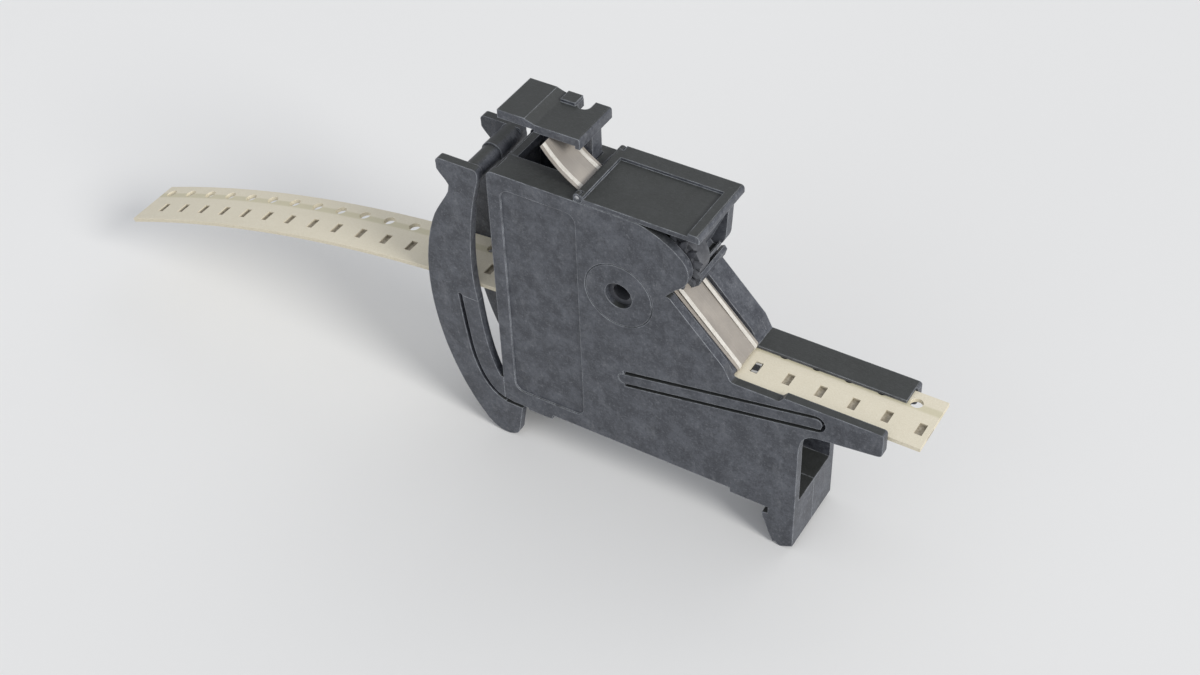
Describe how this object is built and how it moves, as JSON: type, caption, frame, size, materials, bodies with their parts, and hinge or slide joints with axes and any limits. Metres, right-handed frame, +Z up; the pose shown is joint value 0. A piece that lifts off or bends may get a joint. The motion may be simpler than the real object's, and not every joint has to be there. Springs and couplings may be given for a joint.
{
  "type": "smt tape feeder",
  "caption": "Slim rail-mounted hand feeder for an 8 mm component tape, with a thumb lever that peels the cover film, a hinged pinch cover and a sprung latch.",
  "frame": {"origin": "middle of the bounding box's base, below the centre of the feeder with its tape", "axes": "+X the way the tape feeds, towards the pick-up nose; +Y from the right plate to the left plate; +Z up"},
  "size_m": [0.1152, 0.0104, 0.0479],
  "materials": {
    "esd_plastic": "mottled carbon-filled moulding",
    "esd_plastic_inner": "plain moulding",
    "steel": "ground",
    "paper": "matt paper board",
    "film": "clear film",
    "adhesive": "cloudy adhesive",
    "chip": "glazed ceramic"
  },
  "bodies": {
    "housing": {"right_housing": "esd_plastic", "left_housing": "esd_plastic", "right_latch_strip": "esd_plastic", "left_latch_strip": "esd_plastic", "hub_sleeve": "esd_plastic_inner", "cover_hinge_pin": "steel", "holding_spring": "steel", "lever_return_spring": "steel", "cover_tape": "film", "adhesive_strips": "adhesive", "cover_tape_tail": "film", "tail_adhesive_strips": "adhesive"},
    "finger": {"pressure_finger": "esd_plastic"},
    "latch": {"right_latch_arm": "esd_plastic", "left_latch_arm": "esd_plastic"},
    "cover": {"pinch_cover": "esd_plastic", "roller_axle": "steel"},
    "roller": {"nip_roller": "esd_plastic_inner"},
    "lever": {"feed_lever": "esd_plastic", "drive_pawl_pin": "steel", "drive_pawl_spring": "steel"},
    "pawl": {"drive_pawl": "esd_plastic_inner"},
    "drum": {"feed_drum": "esd_plastic_inner"},
    "tape": {"carrier_tape": "paper", "chip_resistors": "chip"}
  },
  "joints": [
    {"name": "lever_swing", "type": "hinge", "parent": "housing", "child": "lever", "pos_m": [0.02088, 0, 0.03033], "axis": [0, -1, 0], "range_deg": [0, 12], "stiffness_Nm_per_rad": 0.002, "springref_deg": -11.46, "deforming": ["lever_return_spring", "holding_spring", "cover_tape_tail", "tail_adhesive_strips"]},
    {"name": "drum_turn", "type": "hinge", "parent": "housing", "child": "drum", "pos_m": [0.02088, 0, 0.03033], "axis": [0, -1, 0], "range_deg": [0, 12]},
    {"name": "roller_spin", "type": "hinge", "parent": "cover", "child": "roller", "pos_m": [0.02699, 0, 0.03711], "axis": [0, -1, 0], "range_deg": [-21, 0]},
    {"name": "tape_feed", "type": "slide", "parent": "housing", "child": "tape", "axis": [1, 0, 0], "range_m": [0, 0.00121]},
    {"name": "pawl_lift", "type": "hinge", "parent": "lever", "child": "pawl", "pos_m": [0.02174, 0, 0.03848], "axis": [0, 1, 0], "range_deg": [0, 8], "stiffness_Nm_per_rad": 0.0002, "deforming": ["drive_pawl_spring"]},
    {"name": "cover_open", "type": "hinge", "parent": "housing", "child": "cover", "pos_m": [0.01583, 0, 0.04232], "axis": [0, -1, 0], "range_deg": [0, 40]},
    {"name": "latch_release", "type": "hinge", "parent": "housing", "child": "latch", "pos_m": [0.00168, 0, 0.0145], "axis": [0, 1, 0], "range_deg": [0, 2.5], "stiffness_Nm_per_rad": 2, "deforming": ["right_latch_strip", "left_latch_strip"]},
    {"name": "finger_press", "type": "hinge", "parent": "housing", "child": "finger", "pos_m": [0.02128, 0, 0.01765], "axis": [0, 1, 0], "range_deg": [0, 0.9], "stiffness_Nm_per_rad": 0.5}
  ],
  "couplings": [
    {"joint": "drum_turn", "follows": "lever_swing", "ratio": 1},
    {"joint": "roller_spin", "follows": "lever_swing", "ratio": -1.7143},
    {"joint": "tape_feed", "follows": "lever_swing", "m_per_rad": 0.00573}
  ]
}
